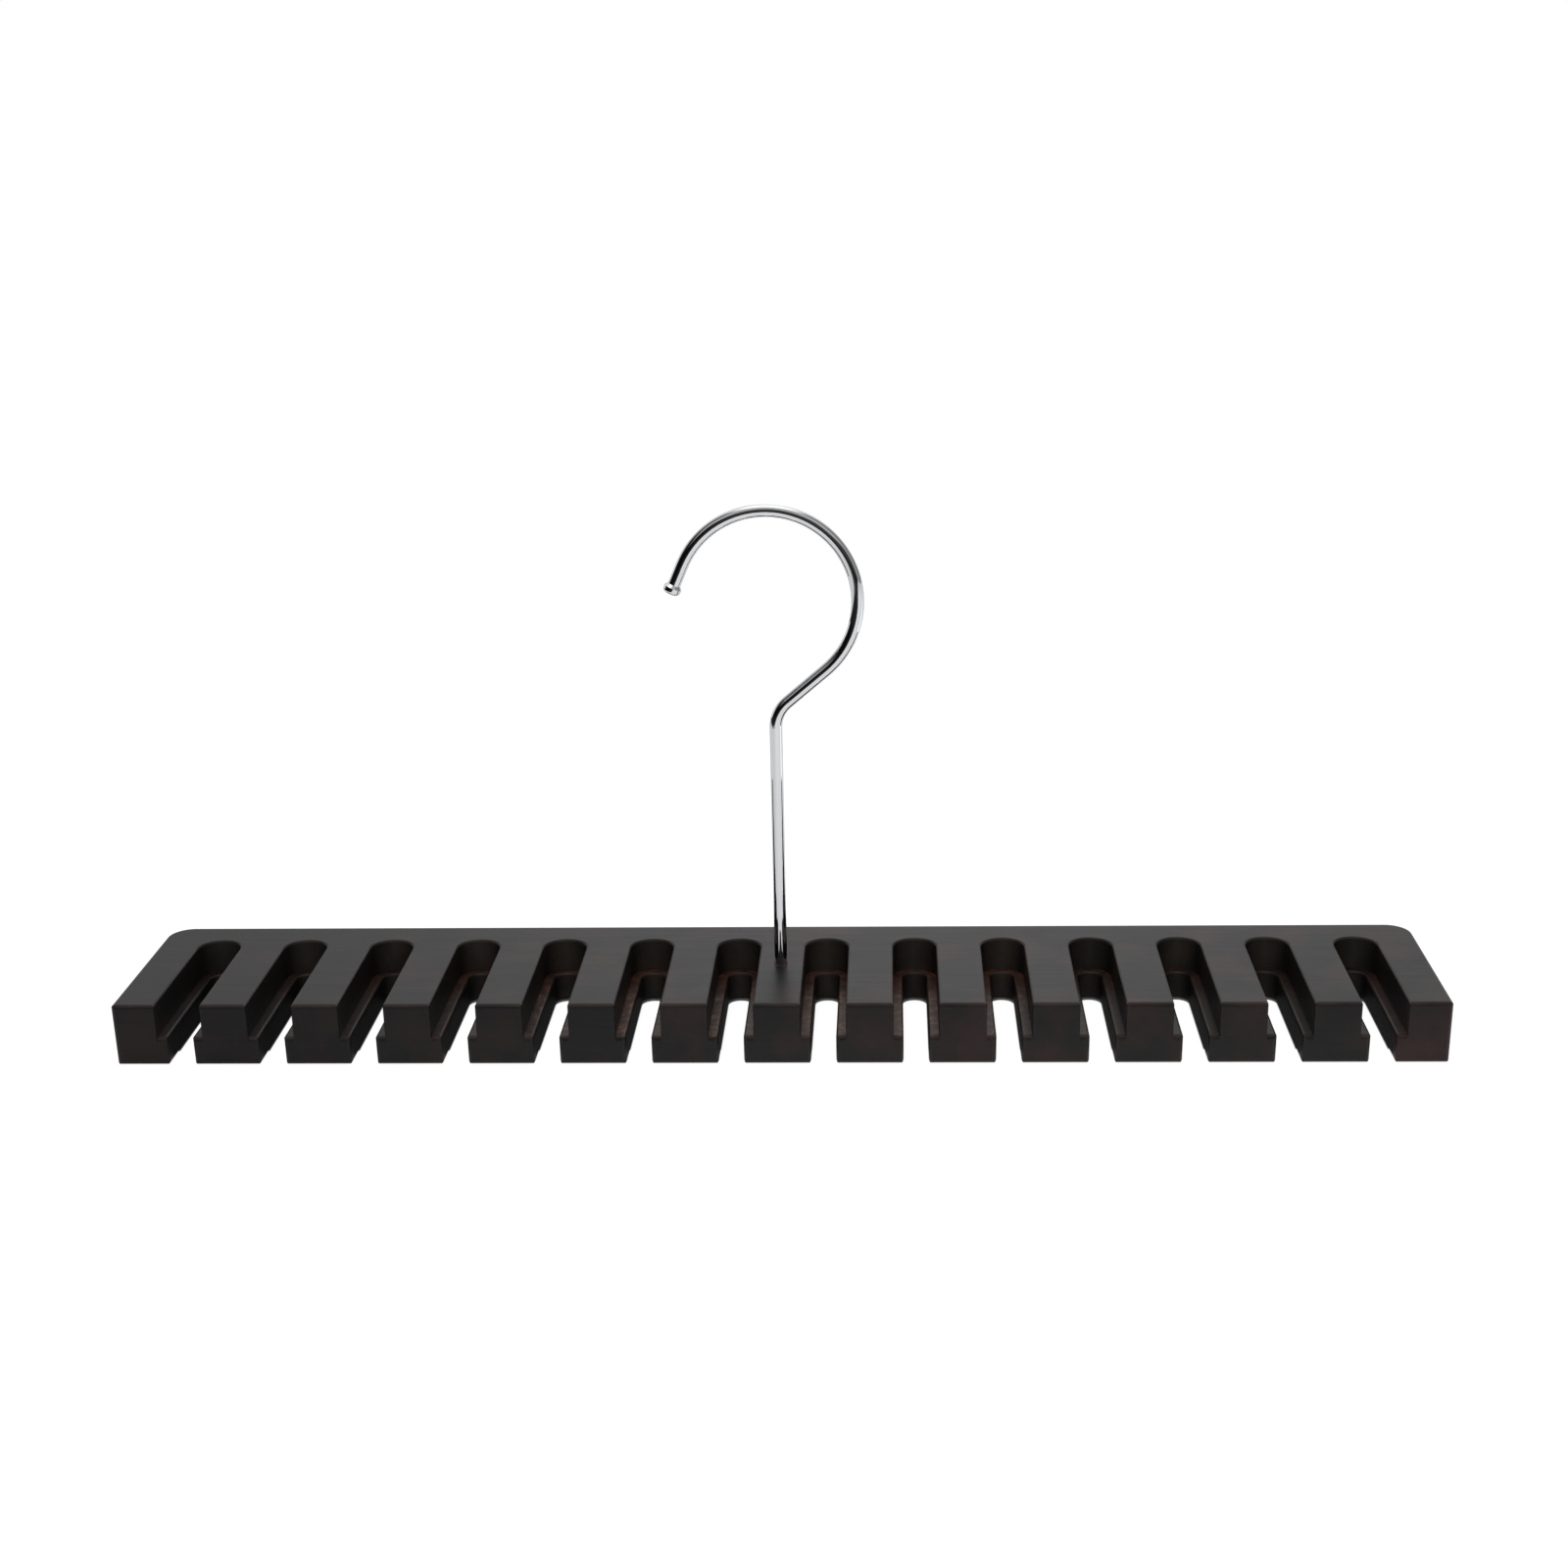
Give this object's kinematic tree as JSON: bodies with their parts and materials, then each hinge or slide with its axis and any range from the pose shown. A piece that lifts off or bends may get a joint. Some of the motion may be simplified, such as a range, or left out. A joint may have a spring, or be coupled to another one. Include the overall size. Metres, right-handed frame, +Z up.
{
  "type": "tie hanger",
  "caption": "Slotted wooden bar with a comb of flat teeth for ties, hung from a slim swivel hook of bent chrome wire.",
  "frame": {"origin": "middle of the bar's footprint, on its underside, straight below the hook's stem", "axes": "+X along the bar, +Y to its solid back edge, +Z up along the hook's stem"},
  "size_m": [0.3608, 0.06, 0.1458],
  "materials": {
    "stained_wood": "near-black stain under a satin lacquer",
    "chrome": "mirror",
    "zinc_steel": "zinc plated, satin",
    "nylon": "matt"
  },
  "bodies": {
    "bar": {"slotted_bar": "stained_wood", "hook_washer": "zinc_steel"},
    "hook": {"swivel_hook": "chrome", "lock_nut": "zinc_steel", "nut_insert": "nylon"}
  },
  "joints": [
    {"name": "hook_swivel", "type": "hinge", "parent": "bar", "child": "hook", "pos_m": [0, 0, 0.0175], "axis": [0, 0, 1], "continuous": true}
  ]
}
